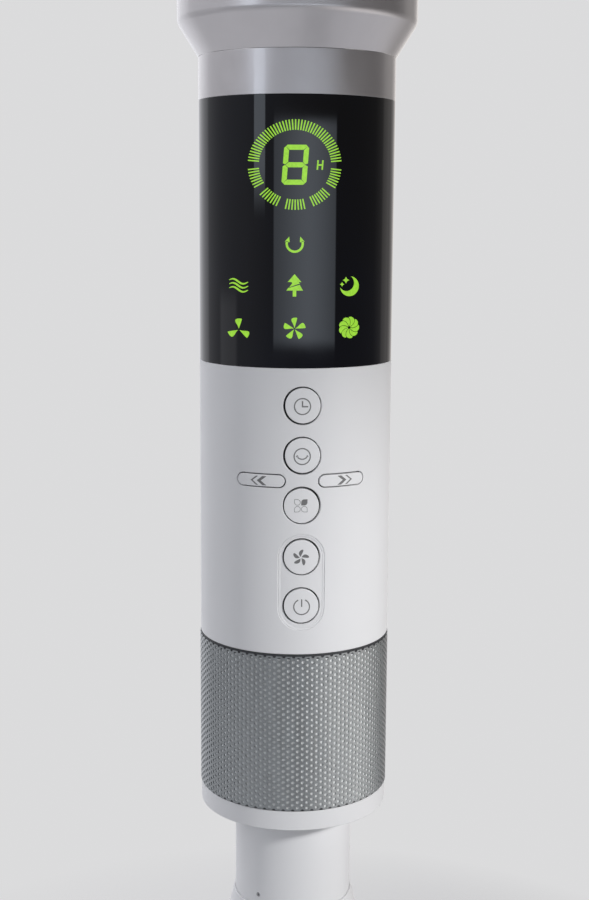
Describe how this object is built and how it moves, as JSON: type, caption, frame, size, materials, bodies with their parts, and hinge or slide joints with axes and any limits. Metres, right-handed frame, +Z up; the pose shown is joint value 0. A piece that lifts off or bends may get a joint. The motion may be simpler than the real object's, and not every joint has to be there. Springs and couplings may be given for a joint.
{
  "type": "tower fan",
  "caption": "Slim floor-standing tower fan: round base, pole, control column with lit display, buttons and speaker grille, and a swinging tower with a cross-flow impeller.",
  "frame": {"origin": "centre of the round base on the floor, under the axis of the column and of the tower's swing", "axes": "+Z up along the column; -Y is the front, where the display, the buttons and the air outlet face; +X is to the right of the display seen from the base, that is to the viewer's right"},
  "size_m": [0.3, 0.3, 1.08],
  "materials": {
    "foot_rubber": "matte",
    "grey_abs": "matte",
    "iron": "cast",
    "white_satin": "satin",
    "grey_rubber": "matte",
    "white_paint": "satin",
    "zinc_steel": "zinc plated",
    "screw_steel": "bright",
    "cloth": "woven",
    "perforated_metal": "satin",
    "black_paint": "satin",
    "speaker_paper": "matte",
    "ferrite": "matte",
    "circuit_board": "solder mask",
    "black_plastic": "satin",
    "white_button": "satin",
    "black_window": "polished",
    "grey_gloss": "gloss",
    "acetal": "natural",
    "copper": "enamelled wire",
    "bearing_bronze": "sintered"
  },
  "bodies": {
    "stand": {"rubber_feet": "foot_rubber", "base_bottom_plate": "grey_abs", "base_weight": "iron", "base_cover": "white_satin", "cord_grommet": "grey_rubber", "base_cone": "white_satin", "pole": "white_paint", "pole_flange": "zinc_steel", "flange_bolts": "screw_steel", "pole_set_screw": "screw_steel", "foot_ring": "white_satin", "clamp_screws": "screw_steel", "speaker_frame": "white_satin", "grille_cloth": "cloth", "speaker_grille": "perforated_metal", "speaker_basket": "black_paint", "speaker_cone": "speaker_paper", "speaker_magnet": "ferrite", "passive_radiator": "foot_rubber", "control_sleeve": "white_satin", "chassis": "grey_abs", "board_carrier": "grey_abs", "button_board": "circuit_board", "button_switches": "black_plastic", "main_board": "circuit_board", "mains_transformer": "black_plastic", "display_window": "black_window", "display_board": "circuit_board", "display_light_box": "white_satin", "neck_ring": "grey_gloss", "swing_bushing": "acetal", "swing_motor": "zinc_steel", "swing_bracket": "zinc_steel"},
    "tower": {"swing_gear": "acetal", "head_spindle": "zinc_steel", "spindle_clip": "screw_steel", "motor_cable": "grey_rubber", "head_collar": "grey_gloss", "motor_mount": "grey_abs", "motor_can": "zinc_steel", "motor_windings": "copper", "motor_bearings": "bearing_bronze", "air_scroll": "grey_abs", "air_tongue": "grey_abs", "top_bracket": "grey_abs", "top_bearing": "bearing_bronze", "front_grille": "grey_gloss", "rear_housing": "grey_gloss", "top_cap": "grey_gloss"},
    "rotor": {"motor_rotor": "iron", "motor_shaft": "screw_steel", "impeller": "black_plastic"},
    "pinion": {"swing_pinion": "acetal"},
    "timer_button": {"timer_button": "white_button"},
    "swing_button": {"swing_button": "white_button"},
    "mode_button": {"mode_button": "white_button"},
    "speed_button": {"speed_button": "white_button"},
    "power_button": {"power_button": "white_button"},
    "previous_button": {"previous_button": "white_button"},
    "next_button": {"next_button": "white_button"}
  },
  "joints": [
    {"name": "tower_swing", "type": "hinge", "parent": "stand", "child": "tower", "pos_m": [0, 0, 0.5753], "axis": [0, 0, 1], "range_deg": [-40, 40]},
    {"name": "impeller_spin", "type": "hinge", "parent": "tower", "child": "rotor", "pos_m": [0, 0, 0.65], "axis": [0, 0, 1], "continuous": true},
    {"name": "pinion_turn", "type": "hinge", "parent": "stand", "child": "pinion", "pos_m": [0, 0.0301, 0.549], "axis": [0, 0, 1], "range_deg": [-125, 125]},
    {"name": "timer_button_press", "type": "slide", "parent": "stand", "child": "timer_button", "axis": [0, 1, 0], "range_m": [0, 0.0008], "stiffness_N_per_m": 600, "springref_m": -0.0008},
    {"name": "swing_button_press", "type": "slide", "parent": "stand", "child": "swing_button", "axis": [0, 1, 0], "range_m": [0, 0.0008], "stiffness_N_per_m": 600, "springref_m": -0.0008},
    {"name": "mode_button_press", "type": "slide", "parent": "stand", "child": "mode_button", "axis": [0, 1, 0], "range_m": [0, 0.0008], "stiffness_N_per_m": 600, "springref_m": -0.0008},
    {"name": "speed_button_press", "type": "slide", "parent": "stand", "child": "speed_button", "axis": [0, 1, 0], "range_m": [0, 0.0008], "stiffness_N_per_m": 600, "springref_m": -0.0008},
    {"name": "power_button_press", "type": "slide", "parent": "stand", "child": "power_button", "axis": [0, 1, 0], "range_m": [0, 0.0008], "stiffness_N_per_m": 600, "springref_m": -0.0008},
    {"name": "previous_button_press", "type": "slide", "parent": "stand", "child": "previous_button", "axis": [0.4131, 0.9107, 0], "range_m": [0, 0.0008], "stiffness_N_per_m": 600, "springref_m": -0.0008},
    {"name": "next_button_press", "type": "slide", "parent": "stand", "child": "next_button", "axis": [-0.4131, 0.9107, 0], "range_m": [0, 0.0008], "stiffness_N_per_m": 600, "springref_m": -0.0008}
  ],
  "couplings": [
    {"joint": "pinion_turn", "follows": "tower_swing", "ratio": -3}
  ]
}
